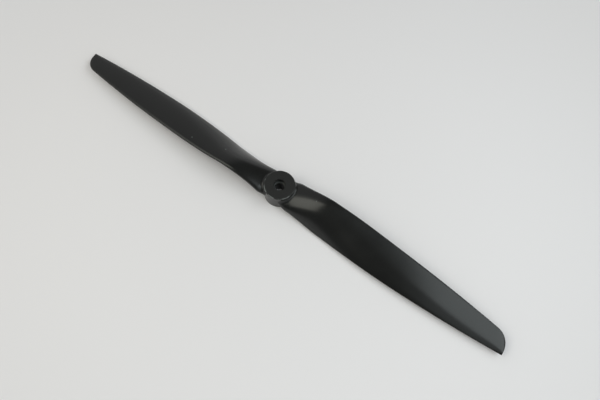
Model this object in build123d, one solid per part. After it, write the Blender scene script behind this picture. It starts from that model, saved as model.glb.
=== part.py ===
from build123d import *
import math
import os

# Sizes in millimetres. The part lies face up: +Z is the shaft axis towards the front face,
# the blades point along +X and -X, and z = 0 is the back face of the hub.

# Hub
hub_diameter = 21.6
hub_height = 13.4
front_rim_rounding = 0.5
back_rim_rounding = 0.35
shaft_bore = 6.35
seat_bore = 8.4
seat_depth = 3.8
root_fillet = 2.0

# Blade reach and pitch
diameter = 356.0
pitch = 167.0
full_pitch_radius = 47.0
flat_pitch_radius = 3.4

# Blade width, measured along the chord
root_chord = 22.0
root_end_radius = 12.0
widest_chord = 26.5
widest_radius = 40.0
tip_chord = 12.2
taper_fullness = 2.15
buried_chord = 17.5
buried_radius = 3.0

# Blade thickness
root_thickness = 8.5
swell_length = 46.5
hub_line_thickness = 4.9
tip_thickness = 1.3
edge_thickness = 0.7

# Blade line: height of the mid chord above the back face, and its small sweep towards the nose
root_line_height = 6.9
line_rise_radius = 36.5
rake_line_height = 9.4
rake = 1.29
nose_lead = 0.55
nose_lead_end_radius = 98.0

# Rounded tip
tip_rounding = 10.9
tip_squareness = 2.34
last_tip_turn = 84.0

# Blade section: a rounded bar at the hub that sharpens into a cambered airfoil.
# The airfoil's half thickness is a root term and four powers of the share of chord from the nose.
airfoil_start_radius = 38.0
camber_share = 0.40
airfoil_root_term = 1.4845
airfoil_powers = (-0.63, -1.758, 1.4215, -0.518)
edge_squareness = 24

# Where the blade's sections stand, and the points on each face of one
root_sections = 7
mid_sections = 10
tip_sections = 5
section_points = 10

blade_radius = diameter / 2
tip_start_radius = blade_radius - tip_rounding


def ease(value, start, end):
    """Rises smoothly from 0 at start to 1 at end."""
    share = min(max((value - start) / (end - start), 0.0), 1.0)
    return share * share * (3 - 2 * share)


def blend(low, high, share):
    """The value that lies share of the way from low to high."""
    return low + (high - low) * share


def full_chord(radius):
    """Chord of the blade at a radius, before the tip is rounded off."""
    if radius > widest_radius:
        run = (radius - widest_radius) / (blade_radius - widest_radius)
        return widest_chord - (widest_chord - tip_chord) * run ** taper_fullness
    if radius > root_end_radius:
        return blend(root_chord, widest_chord, ease(radius, root_end_radius, widest_radius))
    return blend(buried_chord, root_chord, ease(radius, buried_radius, root_end_radius))


def tip_share(radius):
    """Share of the full chord that the rounded tip leaves, as a superellipse."""
    run = max(radius - tip_start_radius, 0.0) / tip_rounding
    return (1 - run ** tip_squareness) ** (1 / tip_squareness)


def thickness(radius):
    """Thickness of the blade: a thin taper to the tip, and a swell towards the hub."""
    taper = blend(hub_line_thickness, tip_thickness, radius / blade_radius)
    swell = root_thickness - hub_line_thickness
    return taper + swell * (1 - ease(radius, 0, swell_length))


def pitch_angle(radius):
    """Angle of the chord: a true screw outboard, flattened so that the root stays in the hub."""
    twist = ease(radius, flat_pitch_radius, full_pitch_radius)
    return math.atan2(pitch * twist, 2 * math.pi * radius)


def mid_chord_height(radius):
    """Height of the mid chord above the back face."""
    raked = rake_line_height - radius * math.tan(math.radians(rake))
    return blend(root_line_height, raked, ease(radius, buried_radius, line_rise_radius))


def section_point(turn, chord, thick, roundness):
    """Point on a section, at a turn round it from the nose over the front face, as (along, up)."""
    share = 1 - abs(math.cos(turn / 2))
    slim = airfoil_root_term * math.sqrt(share)
    slim += sum(factor * share ** power for power, factor in enumerate(airfoil_powers, start=1))
    oval = math.sin(turn) / 2
    half = blend(math.copysign(slim, oval), oval, roundness) * (thick - edge_thickness)
    edge = math.copysign(math.sqrt(1 - math.cos(turn) ** edge_squareness), oval) * edge_thickness / 2
    camber = 4 * camber_share * thick * (1 - roundness) * share * (1 - share)
    along = blend(share, (1 - math.cos(turn)) / 2, roundness)
    return (along - 0.5) * chord, camber + half + edge


def set_point(turn, radius):
    """Point of the blade's surface at a turn round the section that stands at a radius."""
    share = tip_share(radius)
    chord = full_chord(radius)
    roundness = 1 - ease(radius, buried_radius, airfoil_start_radius)
    thick = blend(edge_thickness, thickness(radius), share)
    along, up = section_point(turn, chord * share, thick, roundness)
    lead = nose_lead * (1 - ease(radius, full_pitch_radius, nose_lead_end_radius))
    forward = lead - chord * (1 - share) / 2 - along
    angle = pitch_angle(radius)
    y = forward * math.cos(angle) - up * math.sin(angle)
    z = forward * math.sin(angle) + up * math.cos(angle)
    return Vector(radius, y, z + mid_chord_height(radius))


def section(radius):
    """One blade section: the front face from nose to tail, and the back face from tail to nose.

    The points stand closer together towards the nose and the tail, where the section turns fastest.
    """
    faces = []
    for start in (0, math.pi):
        turns = [start + math.pi * (1 - math.cos(math.pi * step / section_points)) / 2
                 for step in range(section_points + 1)]
        points = [set_point(turn, radius) for turn in turns]
        faces.append(Edge.make_spline(points, parameters=turns))
    return Face(Wire(faces))


def section_radii():
    """Radii of the sections: even at the root, closer towards the tip, and even again round it."""
    radii = [blend(buried_radius, full_pitch_radius, step / root_sections) for step in range(root_sections)]
    for step in range(mid_sections + 1):
        radii.append(blend(full_pitch_radius, tip_start_radius, math.sin(math.pi / 2 * step / mid_sections)))
    for step in range(1, tip_sections + 1):
        share = math.cos(math.radians(last_tip_turn) * step / tip_sections)
        radii.append(tip_start_radius + tip_rounding * (1 - share ** tip_squareness) ** (1 / tip_squareness))
    return radii


def blade():
    """One blade, from inside the hub to its tip on the +X side."""
    return loft([section(radius) for radius in section_radii()])


def hub():
    """The plain boss, its rims rounded."""
    boss = Cylinder(hub_diameter / 2, hub_height, align=(Align.CENTER, Align.CENTER, Align.MIN))
    rims = boss.edges().filter_by(GeomType.CIRCLE).sort_by(Axis.Z)
    boss = fillet(rims[-1], front_rim_rounding)
    rims = boss.edges().filter_by(GeomType.CIRCLE).sort_by(Axis.Z)
    return fillet(rims[0], back_rim_rounding)


def bore():
    """The stepped shaft hole, to be cut away: the shaft's own bore, and a wider seat in the front face."""
    shaft = Cylinder(shaft_bore / 2, hub_height, align=(Align.CENTER, Align.CENTER, Align.MIN))
    seat = Cylinder(seat_bore / 2, seat_depth, align=(Align.CENTER, Align.CENTER, Align.MAX))
    return shaft + Pos(0, 0, hub_height) * seat


def propeller():
    """Hub and two blades as the one moulded piece, filleted where they meet."""
    boss = hub()
    right = blade()
    left = right.rotate(Axis.Z, 180)
    body = boss + right + left
    body = fillet(new_edges(boss, right, left, combined=body), root_fillet)
    return body - bore()


os.makedirs("parts", exist_ok=True)
part = propeller()
part.label = "propeller"
export_step(part, "parts/propeller.step")
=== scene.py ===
"""A two-blade model aircraft propeller, lying face up on a pale table under soft light."""
import math

import bpy
from bpy.props import FloatProperty, FloatVectorProperty, IntProperty, PointerProperty
from mathutils import Matrix, Vector


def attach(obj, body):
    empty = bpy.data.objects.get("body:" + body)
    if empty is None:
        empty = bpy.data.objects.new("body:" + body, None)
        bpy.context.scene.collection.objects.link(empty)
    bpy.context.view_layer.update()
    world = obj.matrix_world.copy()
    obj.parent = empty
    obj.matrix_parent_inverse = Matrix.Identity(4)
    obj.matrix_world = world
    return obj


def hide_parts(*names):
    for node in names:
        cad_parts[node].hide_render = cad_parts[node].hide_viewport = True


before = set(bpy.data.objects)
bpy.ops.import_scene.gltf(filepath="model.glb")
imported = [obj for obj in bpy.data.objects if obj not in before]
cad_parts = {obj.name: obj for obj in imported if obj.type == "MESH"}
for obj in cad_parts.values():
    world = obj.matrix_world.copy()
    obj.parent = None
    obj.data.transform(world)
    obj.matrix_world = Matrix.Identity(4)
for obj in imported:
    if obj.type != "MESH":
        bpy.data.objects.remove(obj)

bl_info = {
    "name": "Model Aircraft Propeller",
    "version": (1, 0, 0),
    "blender": (4, 5, 0),
    "location": "View3D > Sidebar > Propeller",
    "description": "A moulded two-blade propeller and a plain studio to show it in",
    "category": "Object",
}

MM = 0.001


def linear(hex_colour):
    """Turns an sRGB hex colour into linear RGBA."""
    channels = []
    for start in (1, 3, 5):
        value = int(hex_colour[start:start + 2], 16) / 255
        channels.append(value / 12.92 if value <= 0.04045 else ((value + 0.055) / 1.055) ** 2.4)
    return (*channels, 1.0)


def add_node(tree, kind, inputs=None, **settings):
    """Adds a node with its settings, and sets or links its inputs by name or number."""
    node = tree.nodes.new(kind)
    for name, value in settings.items():
        setattr(node, name, value)
    for name, value in (inputs or {}).items():
        if isinstance(value, bpy.types.NodeSocket):
            tree.links.new(value, node.inputs[name])
        else:
            node.inputs[name].default_value = value
    return node


def new_material(name):
    """A material with an empty node tree."""
    material = bpy.data.materials.new(name)
    material.use_nodes = True
    material.node_tree.nodes.clear()
    return material


# Colour of the pale surroundings, as the camera sees them
BACKDROP_COLOUR = linear("#cecfce")[:3]

# Patterns of the nylon: streaks where the fibres flowed, scuff marks that also carry a painted
# highlight on the front rim, dust, and the fine grain of the skin.
# Real grain and real dust are finer than this, and are drawn coarse enough to show.
FLOW_SIZE = 18 * MM
SCUFF_AND_GLINT_SIZE = 4 * MM
DUST_SPACING = 11 * MM
GRAIN_SIZE = 0.6 * MM
GRAIN_DEPTH = 0.02 * MM
GRAIN_STRENGTH = 0.15
ROUGHNESS_SPREAD = 0.02

# Marks on the nylon. Each is full within the first distance and gone beyond the second: below the front
# face, from the front rim, where wear and a painted highlight lie, from the middle of the seat's floor,
# where a painted highlight lies, and from the middle of a speck of dust.
FACE_DEPTHS = (0.05 * MM, 0.3 * MM)
RIM_GAPS = (0.3 * MM, 0.8 * MM)
SEAT_GAPS = (0.4 * MM, 0.6 * MM)
DUST_GAPS = (0.385 * MM, 0.605 * MM)

# How strong the seat's painted highlight and the dust are, how far past the middle of the hub the rim's
# wear and painted highlight on one side have faded out, and the noise between which a scuff with its
# painted highlight fills in and the gloss changes
SEAT_HIGHLIGHT = 0.35
DUST_COVER = 0.7
HANDLED_AND_LIT_FADE = 1.5 * MM
SCUFF_AND_GLINT_NOISE = (0.46, 0.58)
FLOW_NOISE = (0.3, 0.7)


def hub_face_share(tree, parts, reach, sizes):
    """1 on the hub's flat front face, and 0 elsewhere."""
    near_top = add_node(tree, "ShaderNodeMapRange",
                        {"Value": parts.outputs["Z"],
                         "From Min": sizes.hub_height - FACE_DEPTHS[1],
                         "From Max": sizes.hub_height - FACE_DEPTHS[0]})
    on_hub = add_node(tree, "ShaderNodeMath", {0: reach, 1: sizes.hub_diameter / 2},
                      operation="LESS_THAN")
    both = add_node(tree, "ShaderNodeMath", {0: near_top.outputs["Result"], 1: on_hub.outputs[0]},
                    operation="MULTIPLY")
    return both.outputs[0]


def ring_share(tree, profile, radius, height, gaps, most=1.0):
    """How much a mark along a ring round the shaft axis covers.

    It is the most within the first gap from the ring, and nothing beyond the second.
    """
    gap = add_node(tree, "ShaderNodeVectorMath", {0: profile, 1: (radius, 0, height)},
                   operation="DISTANCE")
    share = add_node(tree, "ShaderNodeMapRange",
                     {"Value": gap.outputs["Value"], "From Min": gaps[1], "From Max": gaps[0],
                      "To Max": most})
    return share.outputs["Result"]


def wear_and_highlight_share(tree, place, parts, reach, sizes):
    """How far the black is made pale, by wear and by painted highlights.

    Marks on one side of the front rim are partly wear and partly a painted highlight, and a ring on the
    floor of its seat is a painted highlight.
    """
    profile = add_node(tree, "ShaderNodeCombineXYZ",
                       {"X": reach, "Z": parts.outputs["Z"]}).outputs["Vector"]
    near_rim = ring_share(tree, profile, sizes.hub_diameter / 2, sizes.hub_height, RIM_GAPS)
    scuff_and_glint_noise = add_node(tree, "ShaderNodeTexNoise",
                      {"Vector": place, "Scale": 1 / SCUFF_AND_GLINT_SIZE, "Detail": 3.0, "Roughness": 0.6})
    scuff_and_glint_patches = add_node(tree, "ShaderNodeMapRange",
                       {"Value": scuff_and_glint_noise.outputs["Fac"], "From Min": SCUFF_AND_GLINT_NOISE[0],
                        "From Max": SCUFF_AND_GLINT_NOISE[1]})
    # Only one side of the front rim is made pale: partly wear, partly a painted highlight
    handled_and_lit_side = add_node(tree, "ShaderNodeMapRange",
                            {"Value": parts.outputs["Y"], "From Min": HANDLED_AND_LIT_FADE,
                             "From Max": -HANDLED_AND_LIT_FADE})
    handling_and_highlight = add_node(tree, "ShaderNodeMath",
                        {0: scuff_and_glint_patches.outputs["Result"], 1: handled_and_lit_side.outputs["Result"]},
                        operation="MULTIPLY")
    worn_and_lit_rim = add_node(tree, "ShaderNodeMath", {0: near_rim, 1: handling_and_highlight.outputs[0]},
                        operation="MULTIPLY")
    # The ring on the seat's floor is a painted highlight: pale colour where the seat's ledge would
    # catch light
    seat_middle = (sizes.seat_bore + sizes.shaft_bore) / 4
    seat_floor = sizes.hub_height - sizes.seat_depth
    painted_seat_highlight = ring_share(tree, profile, seat_middle, seat_floor, SEAT_GAPS, SEAT_HIGHLIGHT)
    worn_and_lit = add_node(tree, "ShaderNodeMath", {0: worn_and_lit_rim.outputs[0], 1: painted_seat_highlight},
                    operation="MAXIMUM")
    return worn_and_lit.outputs[0]


def glass_filled_nylon(finish, sizes):
    """Black nylon with short glass fibre in it, injection moulded."""
    # The polished mould gives it a satin skin that mirrors broad lights dimly. The fibres make that
    # skin faintly uneven, so a reflection has a soft edge.
    material = new_material("glass-filled nylon, moulded")
    tree = material.node_tree
    place = add_node(tree, "ShaderNodeTexCoord").outputs["Object"]
    parts = add_node(tree, "ShaderNodeSeparateXYZ", {"Vector": place})
    flat = add_node(tree, "ShaderNodeVectorMath", {0: place, 1: (1, 1, 0)}, operation="MULTIPLY")
    reach = add_node(tree, "ShaderNodeVectorMath", {0: flat.outputs["Vector"]},
                     operation="LENGTH").outputs["Value"]

    # Gloss: uneven where the fibres flowed. The hub's flat front face was left plain by the mould, so
    # it is duller than the polished blades.
    flow = add_node(tree, "ShaderNodeTexNoise",
                    {"Vector": place, "Scale": 1 / FLOW_SIZE, "Detail": 3.0, "Roughness": 0.55})
    skin = add_node(tree, "ShaderNodeMapRange",
                    {"Value": flow.outputs["Fac"], "From Min": FLOW_NOISE[0],
                     "From Max": FLOW_NOISE[1],
                     "To Min": finish.roughness - ROUGHNESS_SPREAD,
                     "To Max": finish.roughness + ROUGHNESS_SPREAD})
    gloss = add_node(tree, "ShaderNodeMix",
                     {"Factor": hub_face_share(tree, parts, reach, sizes),
                      "A": skin.outputs["Result"], "B": finish.face_roughness})

    # Colour: glass fibre clouds the black a little, wear and painted highlights make it pale on the rim
    # and the seat's floor, and a little dust lies on it
    cloudy = add_node(tree, "ShaderNodeMix",
                      {"Factor": flow.outputs["Fac"], "A": (*finish.nylon_colour, 1.0),
                       "B": (*finish.cloud_colour, 1.0)}, data_type="RGBA")
    rubbed_and_lit = add_node(tree, "ShaderNodeMix",
                      {"Factor": wear_and_highlight_share(tree, place, parts, reach, sizes),
                       "A": cloudy.outputs["Result"], "B": (*finish.wear_and_highlight_colour, 1.0)},
                      data_type="RGBA")
    dust = add_node(tree, "ShaderNodeTexVoronoi", {"Vector": place, "Scale": 1 / DUST_SPACING})
    grains = add_node(tree, "ShaderNodeMapRange",
                      {"Value": dust.outputs["Distance"], "From Min": DUST_GAPS[1] / DUST_SPACING,
                       "From Max": DUST_GAPS[0] / DUST_SPACING, "To Max": DUST_COVER})
    dusty = add_node(tree, "ShaderNodeMix",
                     {"Factor": grains.outputs["Result"], "A": rubbed_and_lit.outputs["Result"],
                      "B": (*finish.dust_colour, 1.0)}, data_type="RGBA")

    # Grain: the ends of the fibres roughen the skin a little
    fibres = add_node(tree, "ShaderNodeTexNoise",
                      {"Vector": place, "Scale": 1 / GRAIN_SIZE, "Detail": 2.0})
    bump = add_node(tree, "ShaderNodeBump",
                    {"Height": fibres.outputs["Fac"], "Strength": GRAIN_STRENGTH,
                     "Distance": GRAIN_DEPTH})
    shader = add_node(tree, "ShaderNodeBsdfPrincipled",
                      {"Base Color": dusty.outputs["Result"], "Roughness": gloss.outputs["Result"],
                       "Normal": bump.outputs["Normal"], "IOR": finish.ior})
    add_node(tree, "ShaderNodeOutputMaterial", {"Surface": shader.outputs["BSDF"]})
    return material


def length(name, description, millimetres):
    """A length that a user would change, with its default in millimetres."""
    return FloatProperty(name=name, description=description, subtype="DISTANCE", unit="LENGTH",
                         precision=4, min=0.0, default=millimetres * MM)


class PropellerSizes(bpy.types.PropertyGroup):
    """Sizes of the moulding. Radii and heights are measured from the shaft axis and the back face."""

    # Hub
    hub_diameter: length("Hub diameter", "Outside diameter of the hub", 21.6)
    hub_height: length("Hub height", "Height of the hub", 13.4)
    front_rim_rounding: length("Front rim rounding", "Rounding of the hub's front rim", 0.5)
    back_rim_rounding: length("Back rim rounding", "Rounding of the hub's back rim", 0.35)
    shaft_bore: length("Shaft bore", "Diameter of the shaft hole", 6.35)
    seat_bore: length("Seat bore", "Diameter of the ring seat in the front face", 8.4)
    seat_depth: length("Seat depth", "Depth of the ring seat", 3.8)
    root_fillet: length("Root fillet", "Fillet between a blade's faces and the hub", 2.0)
    edge_fillet: length("Edge fillet", "Fillet between a blade's nose or tail and the hub", 16.0)

    # Blade reach and pitch
    blades: IntProperty(name="Blades", description="Number of blades", min=1, max=8, default=2)
    diameter: length("Diameter", "Diameter over the blade tips", 356.0)
    pitch: length("Pitch", "Travel of the screw in one turn", 167.0)
    flat_pitch_radius: length("Flat pitch radius", "Radius inside which a blade lies flat", 3.4)
    full_pitch_radius: length("Full pitch radius", "Radius outside which a blade is a true screw", 47.0)

    # Blade width
    buried_chord: length("Buried chord", "Chord inside the hub", 17.5)
    buried_radius: length("Buried radius", "Radius of the buried chord", 3.0)
    root_chord: length("Root chord", "Chord just outside the hub", 22.0)
    root_end_radius: length("Root end radius", "Radius of the root chord", 12.0)
    widest_chord: length("Widest chord", "Chord where the blade is widest", 26.5)
    widest_radius: length("Widest radius", "Radius where the blade is widest", 40.0)
    tip_chord: length("Tip chord", "Chord at the tip, before it is rounded off", 12.2)
    taper_fullness: FloatProperty(
        name="Taper fullness", description="Above 1 the blade stays wide for longer before it tapers",
        min=0.5, max=6.0, default=2.15)

    # Blade thickness
    root_thickness: length("Root thickness", "Thickness on the shaft axis", 8.5)
    swell_length: length("Swell length", "Radius at which the thick root has died away", 46.5)
    hub_line_thickness: length(
        "Hub line thickness", "The outer blade's taper, drawn on to the axis", 4.9)
    tip_thickness: length("Tip thickness", "Thickness at the tip", 1.3)
    edge_thickness: length("Edge thickness", "Thickness of the tail edge", 0.7)

    # Blade line: height of the mid chord, and its small lead towards the nose
    root_line_height: length("Root line height", "Height of the mid chord in the hub", 6.9)
    line_rise_radius: length("Line rise radius", "Radius at which the mid chord has risen", 36.5)
    rake_line_height: length(
        "Rake line height", "The outer mid chord's line, drawn on to the axis", 9.4)
    rake: FloatProperty(
        name="Rake", description="Fall of the mid chord's line towards the tip", subtype="ANGLE",
        unit="ROTATION", default=math.radians(1.29))
    nose_lead: length("Nose lead", "How far the inner blade is set towards its nose", 0.55)
    nose_lead_end_radius: length("Nose lead end radius", "Radius where that lead has died away", 98.0)

    # Blade section and rounded tip
    camber_share: FloatProperty(
        name="Camber", description="Height of the camber line as a share of the thickness",
        subtype="FACTOR", min=0.0, max=1.0, default=0.40)
    airfoil_start_radius: length(
        "Airfoil start radius", "Radius from which the section is an airfoil", 38.0)
    tip_rounding: length("Tip rounding", "Length of the rounded tip", 10.9)
    tip_squareness: FloatProperty(
        name="Tip squareness", description="2 makes the tip an ellipse, more makes it squarer",
        min=1.5, max=6.0, default=2.34)


# Grids that the propeller is shaped from: rows out along a blade or over the hub's profile, and
# columns round it
BLADE_ROWS, BLADE_COLUMNS = 120, 72
HUB_ROWS, HUB_COLUMNS = 80, 144

# Share of the rows at which each run ends, of the blade and then of the hub's profile
ROOT_ROWS_END, MIDDLE_ROWS_END = 0.4, 0.8
BACK_END, BACK_RIM_END, WALL_END, FRONT_RIM_END = 0.1, 0.15, 0.55, 0.6
FACE_END, SEAT_END, FLOOR_END = 0.7, 0.8, 0.85

QUARTER_TURN = math.pi / 2
HALF_TURN = math.pi
WHOLE_TURN = math.tau

# The airfoil's half thickness: a root term and four powers of the share of chord from the nose
AIRFOIL_ROOT_TERM = 1.4845
AIRFOIL_POWERS = (-0.63, -1.758, 1.4215, -0.518)
EDGE_SQUARENESS = 24

# Rows of the blade: how far from the bore they start, how many times the fillet's radius the close
# ones reach, and the power that spreads the rest outboard
BORE_CLEARANCE = 0.2 * MM
FILLET_REACH = 1.25
OUTBOARD_SPREAD = 1.4

# The fillet. The higher the focus, the closer its large ball keeps to the nose and the tail. The bite
# is just under 1, so that the fillet crosses the hub's wall instead of grazing it.
EDGE_FOCUS = 2
BALL_BITE = 0.97
LEAST_SLANT = 0.05
LIFT_RUN = 1.6 * MM
RIM_CLEARANCE = 0.1 * MM

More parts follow.
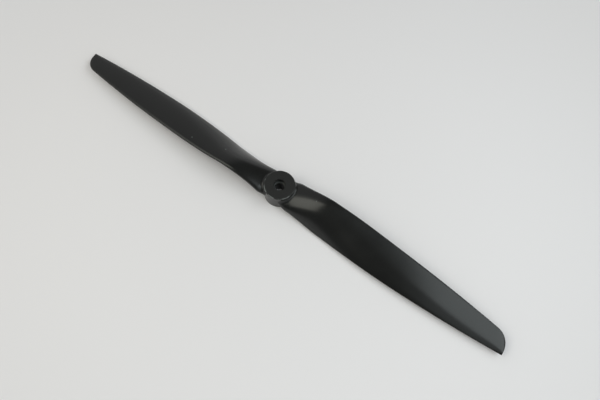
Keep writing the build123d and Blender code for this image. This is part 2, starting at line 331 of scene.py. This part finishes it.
# Each step of a rule is a result, an operation and its terms, which are sizes, earlier results or
# numbers. u runs over the rows and v over the columns, both from 0 to 1. All lengths are in metres.
BLADE_RULE = (
    # The radius of a row: close rows in the fillet, wider ones outboard, close ones round the tip
    ("hub_radius", "DIVIDE", "hub_diameter", 2),
    ("blade_radius", "DIVIDE", "diameter", 2),
    ("tip_start", "SUBTRACT", "blade_radius", "tip_rounding"),
    ("first_radius", "MULTIPLY_ADD", "seat_bore", 0.5, BORE_CLEARANCE),
    ("fillet_end", "MULTIPLY_ADD", "root_fillet", FILLET_REACH, "hub_radius"),
    ("middle_length", "SUBTRACT", "tip_start", "fillet_end"),
    ("root_reach", "LINEAR", "u", 0, ROOT_ROWS_END, "first_radius", "fillet_end"),
    ("middle_share", "LINEAR", "u", ROOT_ROWS_END, MIDDLE_ROWS_END, 0, 1),
    ("middle_ease", "POWER", "middle_share", OUTBOARD_SPREAD),
    ("middle_reach", "MULTIPLY_ADD", "middle_ease", "middle_length", "root_reach"),
    ("tip_turn", "LINEAR", "u", MIDDLE_ROWS_END, 1, 0, QUARTER_TURN),
    ("tip_cosine", "COSINE", "tip_turn"),
    ("tip_share", "MAXIMUM", "tip_cosine", 0),
    ("tip_power", "POWER", "tip_share", "tip_squareness"),
    ("tip_rest", "SUBTRACT", 1, "tip_power"),
    ("tip_root", "DIVIDE", 1, "tip_squareness"),
    ("tip_run", "POWER", "tip_rest", "tip_root"),
    ("radius", "MULTIPLY_ADD", "tip_run", "tip_rounding", "middle_reach"),
    # Chord
    ("past_widest", "SUBTRACT", "radius", "widest_radius"),
    ("taper_length", "SUBTRACT", "blade_radius", "widest_radius"),
    ("taper_run", "DIVIDE", "past_widest", "taper_length"),
    ("taper_share", "MAXIMUM", "taper_run", 0),
    ("taper_power", "POWER", "taper_share", "taper_fullness"),
    ("outer_chord", "LINEAR", "taper_power", 0, 1, "widest_chord", "tip_chord"),
    ("inner_chord", "SMOOTHSTEP", "radius", "buried_radius", "root_end_radius",
     "buried_chord", "root_chord"),
    ("full_chord", "SMOOTHSTEP", "radius", "root_end_radius", "widest_radius",
     "inner_chord", "outer_chord"),
    ("chord", "MULTIPLY", "full_chord", "tip_share"),
    # Thickness
    ("thin", "LINEAR", "radius", 0, "blade_radius", "hub_line_thickness", "tip_thickness"),
    ("swell_size", "SUBTRACT", "root_thickness", "hub_line_thickness"),
    ("swell", "SMOOTHSTEP", "radius", 0, "swell_length", "swell_size", 0),
    ("full_thickness", "ADD", "thin", "swell"),
    ("thickness", "LINEAR", "tip_share", 0, 1, "edge_thickness", "full_thickness"),
    # Pitch angle, height of the mid chord, and how round the section still is
    ("screw", "SMOOTHSTEP", "radius", "flat_pitch_radius", "full_pitch_radius", 0, "pitch"),
    ("girth", "MULTIPLY", "radius", WHOLE_TURN),
    ("angle", "ARCTAN2", "screw", "girth"),
    ("angle_cosine", "COSINE", "angle"),
    ("angle_sine", "SINE", "angle"),
    ("rake_slope", "TANGENT", "rake"),
    ("rake_fall", "MULTIPLY", "radius", "rake_slope"),
    ("raked_height", "SUBTRACT", "rake_line_height", "rake_fall"),
    ("height", "SMOOTHSTEP", "radius", "buried_radius", "line_rise_radius",
     "root_line_height", "raked_height"),
    ("roundness", "SMOOTHSTEP", "radius", "buried_radius", "airfoil_start_radius", 1, 0),
    ("sharpness", "SUBTRACT", 1, "roundness"),
    ("lead", "SMOOTHSTEP", "radius", "full_pitch_radius", "nose_lead_end_radius", "nose_lead", 0),
    # Turn round the section from the nose, over the front face to the tail, and back underneath:
    # close together at the nose and the tail
    ("laps", "MULTIPLY", "v", 2),
    ("laps_done", "FLOOR", "laps"),
    ("lap_share", "FRACT", "laps"),
    ("lap_turn", "MULTIPLY", "lap_share", HALF_TURN),
    ("lap_cosine", "COSINE", "lap_turn"),
    ("lap_ease", "MULTIPLY_ADD", "lap_cosine", -0.5, 0.5),
    ("eased_laps", "ADD", "laps_done", "lap_ease"),
    ("turn", "MULTIPLY", "eased_laps", HALF_TURN),
    ("turn_cosine", "COSINE", "turn"),
    ("turn_sine", "SINE", "turn"),
    ("side", "SIGN", "turn_sine"),
    ("half_turn", "MULTIPLY", "turn", 0.5),
    ("half_cosine", "COSINE", "half_turn"),
    ("half_cosine_size", "ABSOLUTE", "half_cosine"),
    ("place", "SUBTRACT", 1, "half_cosine_size"),
    # Half thickness: between an airfoil's and an oval's, over the edge's own thickness
    ("slim_4", "MULTIPLY_ADD", "place", AIRFOIL_POWERS[3], AIRFOIL_POWERS[2]),
    ("slim_3", "MULTIPLY_ADD", "slim_4", "place", AIRFOIL_POWERS[1]),
    ("slim_2", "MULTIPLY_ADD", "slim_3", "place", AIRFOIL_POWERS[0]),
    ("slim_1", "MULTIPLY", "slim_2", "place"),
    ("place_root", "SQRT", "place"),
    ("slim", "MULTIPLY_ADD", "place_root", AIRFOIL_ROOT_TERM, "slim_1"),
    ("slim_side", "MULTIPLY", "slim", "side"),
    ("oval", "MULTIPLY", "turn_sine", 0.5),
    ("bulge", "LINEAR", "roundness", 0, 1, "slim_side", "oval"),
    ("body_thickness", "SUBTRACT", "thickness", "edge_thickness"),
    ("half_body", "MULTIPLY", "bulge", "body_thickness"),
    ("cosine_size", "ABSOLUTE", "turn_cosine"),
    ("cosine_power", "POWER", "cosine_size", EDGE_SQUARENESS),
    ("edge_rest", "SUBTRACT", 1, "cosine_power"),
    ("edge_root", "SQRT", "edge_rest"),
    ("edge_side", "MULTIPLY", "edge_root", "side"),
    ("half_edge", "MULTIPLY", "edge_thickness", 0.5),
    ("half_thickness", "MULTIPLY_ADD", "edge_side", "half_edge", "half_body"),
    # Camber: an arch over the chord, a quarter high at its middle until it is scaled
    ("place_rest", "SUBTRACT", 1, "place"),
    ("arch", "MULTIPLY", "place", "place_rest"),
    ("camber_gain", "MULTIPLY", "camber_share", 4),
    ("camber_size", "MULTIPLY", "thickness", "sharpness"),
    ("camber", "MULTIPLY", "camber_size", "camber_gain"),
    ("up", "MULTIPLY_ADD", "arch", "camber", "half_thickness"),
    # Distance towards the nose
    ("oval_place", "MULTIPLY_ADD", "turn_cosine", -0.5, 0.5),
    ("along", "LINEAR", "roundness", 0, 1, "place", "oval_place"),
    ("along_mid", "SUBTRACT", 0.5, "along"),
    ("shaved", "SUBTRACT", "full_chord", "chord"),
    ("tip_lead", "MULTIPLY_ADD", "shaved", -0.5, "lead"),
    ("forward", "MULTIPLY_ADD", "along_mid", "chord", "tip_lead"),
    # Which way the root's skin faces, and how nearly that is the way the hub's wall faces
    ("face_forward", "MULTIPLY", "turn_cosine", "thickness"),
    ("face_up", "MULTIPLY", "turn_sine", "full_chord"),
    ("face_forward_2", "MULTIPLY", "face_forward", "face_forward"),
    ("face_2", "MULTIPLY_ADD", "face_up", "face_up", "face_forward_2"),
    ("face", "SQRT", "face_2"),
    ("skin_forward", "DIVIDE", "face_forward", "face"),
    ("skin_up", "DIVIDE", "face_up", "face"),
    ("bare_forward", "MULTIPLY", "forward", "angle_cosine"),
    ("bare_up", "MULTIPLY", "up", "angle_sine"),
    ("bare_y", "SUBTRACT", "bare_forward", "bare_up"),
    ("radius_2", "MULTIPLY", "radius", "radius"),
    ("axis_distance_2", "MULTIPLY_ADD", "bare_y", "bare_y", "radius_2"),
    ("axis_distance", "SQRT", "axis_distance_2"),
    ("wall_y", "DIVIDE", "bare_y", "axis_distance"),
    ("skin_side", "MULTIPLY", "skin_forward", "angle_cosine"),
    ("skin_lean", "MULTIPLY", "skin_up", "angle_sine"),
    ("skin_y", "SUBTRACT", "skin_side", "skin_lean"),
    ("match", "MULTIPLY", "wall_y", "skin_y"),
    ("match_2", "MULTIPLY", "match", "match"),
    ("slant_2", "SUBTRACT", 1, "match_2"),
    ("slant_root", "SQRT", "slant_2"),
    ("slant", "MAXIMUM", "slant_root", LEAST_SLANT),
    # The fillet: a ball that touches the wall and the skin lifts the skin near the wall
    ("gap", "SUBTRACT", "axis_distance", "hub_radius"),
    ("mismatch", "SUBTRACT", 1, "match"),
    ("skin_forward_2", "MULTIPLY", "skin_forward", "skin_forward"),
    ("edge_share", "POWER", "skin_forward_2", EDGE_FOCUS),
    ("ball", "LINEAR", "edge_share", 0, 1, "root_fillet", "edge_fillet"),
    ("ball_touch", "MULTIPLY", "mismatch", "ball"),
    ("ball_reach", "MULTIPLY", "ball_touch", BALL_BITE),
    ("ball_left", "SUBTRACT", "ball_reach", "gap"),
    ("ball_slide", "DIVIDE", "ball_left", "slant"),
    ("ball_end", "MULTIPLY", "slant", "ball"),
    ("ball_near", "MINIMUM", "ball_slide", "ball_end"),
    ("ball_side", "MAXIMUM", "ball_near", 0),
    ("ball_side_2", "MULTIPLY", "ball_side", "ball_side"),
    ("ball_2", "MULTIPLY", "ball", "ball"),
    ("ball_rest", "SUBTRACT", "ball_2", "ball_side_2"),
    ("ball_drop", "SQRT", "ball_rest"),
    ("full_lift", "SUBTRACT", "ball", "ball_drop"),
    # The lift starts from nothing, so that the blade's end stays buried
    ("lift_end", "ADD", "first_radius", LIFT_RUN),
    ("lift", "SMOOTHSTEP", "radius", "first_radius", "lift_end", 0, "full_lift"),
    ("lifted_forward", "MULTIPLY_ADD", "lift", "skin_forward", "forward"),
    ("lifted_up", "MULTIPLY_ADD", "lift", "skin_up", "up"),
    # The first row closes the blade's end inside the hub, and the last one closes the tip's edge
    ("root_open", "LINEAR", "u", 0, 1 / BLADE_ROWS, 0, 1),
    ("tip_open", "LINEAR", "u", 1 - 1 / BLADE_ROWS, 1, 1, 0),
    ("open", "MULTIPLY", "root_open", "tip_open"),
    ("set_forward", "MULTIPLY", "lifted_forward", "root_open"),
    ("set_up", "MULTIPLY", "lifted_up", "open"),
    # Turn the section by the pitch angle. x is the radius itself.
    ("forward_y", "MULTIPLY", "set_forward", "angle_cosine"),
    ("up_y", "MULTIPLY", "set_up", "angle_sine"),
    ("x", "ADD", "radius", 0),
    ("y", "SUBTRACT", "forward_y", "up_y"),
    ("forward_z", "MULTIPLY_ADD", "set_forward", "angle_sine", "height"),
    ("free_z", "MULTIPLY_ADD", "set_up", "angle_cosine", "forward_z"),
    # The fillet runs out below the hub's rounded rim
    ("rim_start", "SUBTRACT", "hub_height", "front_rim_rounding"),
    ("ceiling", "SUBTRACT", "rim_start", RIM_CLEARANCE),
    ("bare_forward_z", "MULTIPLY_ADD", "forward", "angle_sine", "height"),
    ("bare_z", "MULTIPLY_ADD", "up", "angle_cosine", "bare_forward_z"),
    ("highest", "MAXIMUM", "ceiling", "bare_z"),
    ("z", "MINIMUM", "free_z", "highest"),
)

HUB_RULE = (
    ("hub_radius", "DIVIDE", "hub_diameter", 2),
    ("bore_radius", "DIVIDE", "shaft_bore", 2),
    ("seat_radius", "DIVIDE", "seat_bore", 2),
    ("back_flat_end", "SUBTRACT", "hub_radius", "back_rim_rounding"),
    ("front_flat_end", "SUBTRACT", "hub_radius", "front_rim_rounding"),
    ("front_flat", "SUBTRACT", "front_flat_end", "seat_radius"),
    ("wall_top", "SUBTRACT", "hub_height", "front_rim_rounding"),
    ("wall", "SUBTRACT", "wall_top", "back_rim_rounding"),
    ("seat_floor", "SUBTRACT", "hub_height", "seat_depth"),
    ("seat_step", "SUBTRACT", "seat_radius", "bore_radius"),
    # Once round the profile: out over the back face, up the wall, in over the front face, down the
    # seat, in over its floor, and down the bore
    ("back_out", "LINEAR", "u", 0, BACK_END, "bore_radius", "back_flat_end"),
    ("back_turn", "LINEAR", "u", BACK_END, BACK_RIM_END, 0, QUARTER_TURN),
    ("wall_up", "LINEAR", "u", BACK_RIM_END, WALL_END, 0, "wall"),
    ("front_turn", "LINEAR", "u", WALL_END, FRONT_RIM_END, 0, QUARTER_TURN),
    ("front_in", "LINEAR", "u", FRONT_RIM_END, FACE_END, 0, "front_flat"),
    ("seat_down", "LINEAR", "u", FACE_END, SEAT_END, 0, "seat_depth"),
    ("floor_in", "LINEAR", "u", SEAT_END, FLOOR_END, 0, "seat_step"),
    ("bore_down", "LINEAR", "u", FLOOR_END, 1, 0, "seat_floor"),
    ("back_sine", "SINE", "back_turn"),
    ("back_cosine", "COSINE", "back_turn"),
    ("back_rise", "SUBTRACT", 1, "back_cosine"),
    ("front_sine", "SINE", "front_turn"),
    ("front_cosine", "COSINE", "front_turn"),
    ("front_bend", "SUBTRACT", 1, "front_cosine"),
    ("front_cut", "MULTIPLY_ADD", "front_bend", "front_rim_rounding", "front_in"),
    ("outer", "MULTIPLY_ADD", "back_sine", "back_rim_rounding", "back_out"),
    ("inner", "SUBTRACT", "outer", "front_cut"),
    ("distance", "SUBTRACT", "inner", "floor_in"),
    ("raised", "MULTIPLY_ADD", "back_rise", "back_rim_rounding", "wall_up"),
    ("topped", "MULTIPLY_ADD", "front_sine", "front_rim_rounding", "raised"),
    ("seated", "SUBTRACT", "topped", "seat_down"),
    ("z", "SUBTRACT", "seated", "bore_down"),
    ("around", "MULTIPLY", "v", WHOLE_TURN),
    ("around_cosine", "COSINE", "around"),
    ("around_sine", "SINE", "around"),
    ("x", "MULTIPLY", "distance", "around_cosine"),
    ("y", "MULTIPLY", "distance", "around_sine"),
)

# Distances within which points become one, in each piece and where the pieces join, and the angle
# above which an edge stays crisp
WELD_GAP = 0.002 * MM
JOIN_GAP = 0.01 * MM
CRISP_ANGLE = math.radians(35)


def shaped_grid(tree, sizes, rows, columns, rule):
    """A closed surface: a grid whose every point is placed by a rule, and whose seams are welded."""
    place = add_node(tree, "GeometryNodeInputPosition")
    parts = add_node(tree, "ShaderNodeSeparateXYZ", {"Vector": place.outputs["Position"]})
    values = dict(sizes)
    for name, axis in (("u", "X"), ("v", "Y")):
        values[name] = add_node(tree, "ShaderNodeMath", {0: parts.outputs[axis], 1: 0.5},
                                operation="ADD").outputs[0]
    for result, operation, *terms in rule:
        inputs = {number: values.get(term, term) for number, term in enumerate(terms)}
        if operation in ("LINEAR", "SMOOTHSTEP"):
            node = add_node(tree, "ShaderNodeMapRange", inputs, interpolation_type=operation)
        else:
            node = add_node(tree, "ShaderNodeMath", inputs, operation=operation)
        values[result] = node.outputs[0]
    point = add_node(tree, "ShaderNodeCombineXYZ",
                     {"X": values["x"], "Y": values["y"], "Z": values["z"]})
    grid = add_node(tree, "GeometryNodeMeshGrid",
                    {"Size X": 1, "Size Y": 1, "Vertices X": rows + 1, "Vertices Y": columns + 1})
    shaped = add_node(tree, "GeometryNodeSetPosition",
                      {"Geometry": grid.outputs["Mesh"], "Position": point.outputs["Vector"]})
    welded = add_node(tree, "GeometryNodeMergeByDistance",
                      {"Geometry": shaped.outputs["Geometry"], "Distance": WELD_GAP})
    outward = add_node(tree, "GeometryNodeFlipFaces", {"Mesh": welded.outputs["Geometry"]})
    return outward.outputs["Mesh"]


def named_inputs(tree, settings):
    """Gives the tree an input for each size, and returns their identifiers and their sockets."""
    identifiers = {}
    for key in type(settings).__annotations__:
        size = settings.bl_rna.properties[key]
        kind = "NodeSocketInt" if size.type == "INT" else "NodeSocketFloat"
        socket = tree.interface.new_socket(size.name, in_out="INPUT", socket_type=kind)
        socket.default_value = size.default
        identifiers[key] = socket.identifier
    entry = add_node(tree, "NodeGroupInput")
    sizes = {key: entry.outputs[settings.bl_rna.properties[key].name] for key in identifiers}
    return identifiers, sizes


def propeller_tree(settings, material):
    """The node tree of the whole moulding, and the identifier of the input for each size."""
    tree = bpy.data.node_groups.new("propeller by rule", "GeometryNodeTree")
    tree.interface.new_socket("Geometry", in_out="OUTPUT", socket_type="NodeSocketGeometry")
    identifiers, sizes = named_inputs(tree, settings)

    # The hub, and the blades swung round the shaft axis at equal steps
    hub = shaped_grid(tree, sizes, HUB_ROWS, HUB_COLUMNS, HUB_RULE)
    blade = shaped_grid(tree, sizes, BLADE_ROWS, BLADE_COLUMNS, BLADE_RULE)
    step = add_node(tree, "ShaderNodeMath", {0: WHOLE_TURN, 1: sizes["blades"]}, operation="DIVIDE")
    number = add_node(tree, "GeometryNodeInputIndex")
    swing = add_node(tree, "ShaderNodeMath", {0: step.outputs[0], 1: number.outputs["Index"]},
                     operation="MULTIPLY")
    swung = add_node(tree, "ShaderNodeCombineXYZ", {"Z": swing.outputs[0]})
    roots = add_node(tree, "GeometryNodePoints", {"Count": sizes["blades"], "Position": (0, 0, 0)})
    blades = add_node(tree, "GeometryNodeInstanceOnPoints",
                      {"Points": roots.outputs[0], "Instance": blade,
                       "Rotation": swung.outputs["Vector"]})
    real_blades = add_node(tree, "GeometryNodeRealizeInstances",
                           {"Geometry": blades.outputs["Instances"]})

    # One closed moulding of them, smooth but for its few crisp edges
    union = add_node(tree, "GeometryNodeMeshBoolean", operation="UNION", solver="EXACT")
    for mesh in (hub, real_blades.outputs["Geometry"]):
        tree.links.new(mesh, union.inputs["Mesh"])
    clean = add_node(tree, "GeometryNodeMergeByDistance",
                     {"Geometry": union.outputs["Mesh"], "Distance": JOIN_GAP})
    soft = add_node(tree, "GeometryNodeSetShadeSmooth", {"Geometry": clean.outputs["Geometry"]},
                    domain="FACE")
    bend = add_node(tree, "GeometryNodeInputMeshEdgeAngle")
    crisp = add_node(tree, "ShaderNodeMath", {0: bend.outputs["Unsigned Angle"], 1: CRISP_ANGLE},
                     operation="GREATER_THAN")
    edged = add_node(tree, "GeometryNodeSetShadeSmooth",
                     {"Geometry": soft.outputs["Geometry"], "Selection": crisp.outputs[0],
                      "Shade Smooth": False}, domain="EDGE")
    real = add_node(tree, "GeometryNodeRealizeInstances", {"Geometry": edged.outputs["Geometry"]})
    dressed = add_node(tree, "GeometryNodeSetMaterial",
                       {"Geometry": real.outputs["Geometry"], "Material": material})
    add_node(tree, "NodeGroupOutput", {"Geometry": dressed.outputs["Geometry"]})
    return tree, identifiers


# The table: its width, how far it lies below the part, so that the two share no plane, and the
# distances from the part between which it runs into the backdrop
TABLE_WIDTH = 6.0
TABLE_DROP = 0.01 * MM
TABLE_FADE = (0.12, 0.42)


def backdrop_rays(tree, mirrored_share=1.0):
    """1 for a camera ray, and a share for a mirrored or bent one, so that they see the backdrop."""
    ray = add_node(tree, "ShaderNodeLightPath")
    bent = add_node(tree, "ShaderNodeMath",
                    {0: ray.outputs["Is Glossy Ray"], 1: ray.outputs["Is Transmission Ray"]},
                    operation="MAXIMUM")
    bent_share = add_node(tree, "ShaderNodeMath", {0: bent.outputs[0], 1: mirrored_share},
                          operation="MULTIPLY")
    seen = add_node(tree, "ShaderNodeMath",
                    {0: ray.outputs["Is Camera Ray"], 1: bent_share.outputs[0]},
                    operation="MAXIMUM")
    return seen.outputs[0]


def table_top(stage):
    """Matt pale laminate, which runs into the pale backdrop far out."""
    # Its fine matt grain spreads light evenly, so it shows soft shadows and no reflection
    material = new_material("laminate, matt")
    tree = material.node_tree
    shader = add_node(tree, "ShaderNodeBsdfPrincipled",
                      {"Base Color": (*stage.table_colour, 1.0), "Roughness": 0.8,
                       "Specular IOR Level": 0.2})
    backdrop = add_node(tree, "ShaderNodeEmission",
                        {"Color": (*BACKDROP_COLOUR, 1.0), "Strength": 1.0})
    place = add_node(tree, "ShaderNodeTexCoord").outputs["Object"]
    distance = add_node(tree, "ShaderNodeVectorMath", {0: place}, operation="LENGTH")
    far = add_node(tree, "ShaderNodeMapRange",
                   {"Value": distance.outputs["Value"], "From Min": TABLE_FADE[0],
                    "From Max": TABLE_FADE[1]},
                   interpolation_type="SMOOTHSTEP")
    share = add_node(tree, "ShaderNodeMath", {0: far.outputs["Result"], 1: backdrop_rays(tree)},
                     operation="MULTIPLY")
    surface = add_node(tree, "ShaderNodeMixShader",
                       {"Fac": share.outputs[0], 1: shader.outputs["BSDF"],
                        2: backdrop.outputs["Emission"]})
    add_node(tree, "ShaderNodeOutputMaterial", {"Surface": surface.outputs["Shader"]})
    return material


class PropellerFinish(bpy.types.PropertyGroup):
    """Colour and gloss of the moulding."""

    nylon_colour: FloatVectorProperty(
        name="Nylon colour", description="Body colour of the black nylon", subtype="COLOR",
        size=3, min=0.0, max=1.0, default=linear("#141413")[:3])
    cloud_colour: FloatVectorProperty(
        name="Cloud colour", description="Colour where the glass fibre clouds the black",
        subtype="COLOR", size=3, min=0.0, max=1.0, default=linear("#1a1b1a")[:3])
    # Pale colour for wear on the front rim, and for painted highlights on the rim and the seat's floor
    wear_and_highlight_colour: FloatVectorProperty(
        name="Rubbed colour", description="Colour where handling or a ring has rubbed the black",
        subtype="COLOR", size=3, min=0.0, max=1.0, default=linear("#6d716f")[:3])
    dust_colour: FloatVectorProperty(
        name="Dust colour", description="Colour of the few grains of dust", subtype="COLOR",
        size=3, min=0.0, max=1.0, default=linear("#5a605e")[:3])
    roughness: FloatProperty(
        name="Roughness", description="How soft the satin skin makes a reflection",
        subtype="FACTOR", min=0.0, max=1.0, default=0.20)
    face_roughness: FloatProperty(
        name="Face roughness", description="Roughness of the hub's flat front face",
        subtype="FACTOR", min=0.0, max=1.0, default=0.50)
    ior: FloatProperty(
        name="IOR", description="Refractive index of the nylon's skin", min=1.0, max=2.0,
        default=1.46)


class StageLook(bpy.types.PropertyGroup):
    """The table, the lamps and the camera."""

    table_colour: FloatVectorProperty(
        name="Table colour", description="Colour of the table top", subtype="COLOR",
        size=3, min=0.0, max=1.0, default=linear("#f0edee")[:3])
    panel_height: FloatProperty(
        name="Panel height", description="Height of the light panels over the table",
        subtype="DISTANCE", unit="LENGTH", default=0.7)


# Light panels that hang level over the table: name, near and far corner in panel heights, radiance,
# and colour, cool on the right and warm on the left
COOL = linear("#f2fcfd")[:3]
WARM = linear("#fffff2")[:3]
PANELS = (
    ("window right", (0.27, -0.30), (1.00, 0.92), 2.25, COOL),
    ("wall right", (0.27, -0.90), (1.30, 1.50), 0.6, COOL),
    ("window left", (-0.82, -1.05), (-0.18, -0.14), 2.2, WARM),
    ("wall left", (-1.60, -1.60), (-0.40, 0.00), 0.5, WARM),
)

# The room: how far to the side a direction leans where the dark strip ends and the walls are full,
# the light of each, and how high it points where a reflection passes from the backdrop to the room
STRIP_EDGES = (0.2, 0.5)
STRIP_LIGHT = 0.12
WALL_LIGHT = 0.48
LOW_DIRECTIONS = (0.1, 0.35)

# The camera, at the photograph's viewing angle
CAMERA_PLACE = Vector((102.1, -132.5, 382.8)) * MM
CAMERA_AIM = Vector((14.5, 4.2, 0.0)) * MM
CAMERA_ROLL = math.radians(4.15)
CAMERA_LENS = 36.0
CAMERA_SENSOR = 36.0


def hang_panel(name, near, far, radiance, colour, height):
    """A level rectangular light panel, as bright all over as its radiance says, facing the table.

    Its power is its radiance times pi times its area.
    """
    lamp = bpy.data.lights.new(name, "AREA")
    lamp.shape = "RECTANGLE"
    lamp.size = (far[0] - near[0]) * height
    lamp.size_y = (far[1] - near[1]) * height
    lamp.energy = radiance * math.pi * lamp.size * lamp.size_y
    lamp.color = colour
    panel = bpy.data.objects.new(name, lamp)
    panel.location = ((near[0] + far[0]) / 2 * height, (near[1] + far[1]) / 2 * height, height)
    panel.visible_camera = False
    bpy.context.scene.collection.objects.link(panel)


def room():
    """The room round the table: grey walls to the left and right, and nearly dark between them."""
    world = bpy.data.worlds.new("room")
    world.use_nodes = True
    tree = world.node_tree
    tree.nodes.clear()
    towards = add_node(tree, "ShaderNodeTexCoord").outputs["Generated"]
    parts = add_node(tree, "ShaderNodeSeparateXYZ", {"Vector": towards})
    sideways = add_node(tree, "ShaderNodeMath", {0: parts.outputs["X"]}, operation="ABSOLUTE")
    shade = add_node(tree, "ShaderNodeMapRange",
                     {"Value": sideways.outputs[0], "From Min": STRIP_EDGES[0],
                      "From Max": STRIP_EDGES[1], "To Min": STRIP_LIGHT, "To Max": WALL_LIGHT},
                     interpolation_type="SMOOTHSTEP")
    walls = add_node(tree, "ShaderNodeBackground",
                     {"Color": (1, 1, 1, 1), "Strength": shade.outputs["Result"]})
    backdrop = add_node(tree, "ShaderNodeBackground",
                        {"Color": (*BACKDROP_COLOUR, 1.0), "Strength": 1.0})
    # The camera sees the pale backdrop in every direction, and reflections see it low down
    low = add_node(tree, "ShaderNodeMapRange",
                   {"Value": parts.outputs["Z"], "From Min": LOW_DIRECTIONS[1],
                    "From Max": LOW_DIRECTIONS[0]},
                   interpolation_type="SMOOTHSTEP")
    seen = add_node(tree, "ShaderNodeMixShader",
                    {"Fac": backdrop_rays(tree, low.outputs["Result"]),
                     1: walls.outputs["Background"], 2: backdrop.outputs["Background"]})
    add_node(tree, "ShaderNodeOutputWorld", {"Surface": seen.outputs["Shader"]})
    return world


class PROPELLER_OT_mould(bpy.types.Operator):
    """Makes the propeller from its rule, in moulded nylon"""

    bl_idname = "propeller.mould"
    bl_label = "Mould Propeller"

    def execute(self, context):
        scene = context.scene
        sizes = scene.propeller_sizes
        material = glass_filled_nylon(scene.propeller_finish, sizes)
        piece = bpy.data.objects.new("moulding", bpy.data.meshes.new("moulding"))
        scene.collection.objects.link(piece)
        modifier = piece.modifiers.new("rule", "NODES")
        modifier.node_group, identifiers = propeller_tree(sizes, material)
        for key, identifier in identifiers.items():
            modifier[identifier] = getattr(sizes, key)
        depsgraph = context.evaluated_depsgraph_get()
        mesh = bpy.data.meshes.new_from_object(piece.evaluated_get(depsgraph), depsgraph=depsgraph)
        piece.modifiers.clear()
        piece.data = mesh
        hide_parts("propeller")
        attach(piece, "root")
        return {"FINISHED"}


class PROPELLER_OT_stage(bpy.types.Operator):
    """Lays out the table, the light panels and the camera"""

    bl_idname = "propeller.stage"
    bl_label = "Lay Out Stage"

    def execute(self, context):
        scene = context.scene
        stage = scene.stage_look
        bpy.ops.mesh.primitive_plane_add(size=TABLE_WIDTH, location=(0, 0, -TABLE_DROP))
        table = context.object
        table.name = "table"
        table.data.materials.append(table_top(stage))

        for panel in PANELS:
            hang_panel(*panel, stage.panel_height)
        scene.world = room()

        camera = bpy.data.cameras.new("camera")
        camera.sensor_width = CAMERA_SENSOR
        camera.lens = CAMERA_LENS
        eye = bpy.data.objects.new("camera", camera)
        level_turn = (CAMERA_AIM - CAMERA_PLACE).to_track_quat("-Z", "Y").to_matrix()
        turn = level_turn @ Matrix.Rotation(CAMERA_ROLL, 3, "Z")
        eye.matrix_world = Matrix.Translation(CAMERA_PLACE) @ turn.to_4x4()
        scene.collection.objects.link(eye)
        scene.camera = eye
        scene.view_settings.view_transform = "Standard"
        return {"FINISHED"}


class PROPELLER_PT_panel(bpy.types.Panel):
    """Lists what the propeller is made of"""

    bl_idname = "PROPELLER_PT_panel"
    bl_label = "Propeller"
    bl_space_type = "VIEW_3D"
    bl_region_type = "UI"
    bl_category = "Propeller"

    def draw(self, context):
        scene = context.scene
        sections = (
            ((scene.propeller_sizes, scene.propeller_finish), PROPELLER_OT_mould),
            ((scene.stage_look,), PROPELLER_OT_stage),
        )
        for groups, operator in sections:
            box = self.layout.box()
            for settings in groups:
                for name in type(settings).__annotations__:
                    box.prop(settings, name)
            box.operator(operator.bl_idname)


CLASSES = (
    PropellerSizes,
    PropellerFinish,
    StageLook,
    PROPELLER_OT_mould,
    PROPELLER_OT_stage,
    PROPELLER_PT_panel,
)


def register():
    """Registers the classes, and gives every scene the settings."""
    for cls in CLASSES:
        bpy.utils.register_class(cls)
    bpy.types.Scene.propeller_sizes = PointerProperty(type=PropellerSizes)
    bpy.types.Scene.propeller_finish = PointerProperty(type=PropellerFinish)
    bpy.types.Scene.stage_look = PointerProperty(type=StageLook)


def unregister():
    """Takes away what register added, in reverse."""
    del bpy.types.Scene.stage_look
    del bpy.types.Scene.propeller_finish
    del bpy.types.Scene.propeller_sizes
    for cls in reversed(CLASSES):
        bpy.utils.unregister_class(cls)


def main():
    """Makes the propeller and its stage."""
    register()
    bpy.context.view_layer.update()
    bpy.ops.propeller.mould()
    bpy.ops.propeller.stage()


if __name__ == "__main__":
    main()
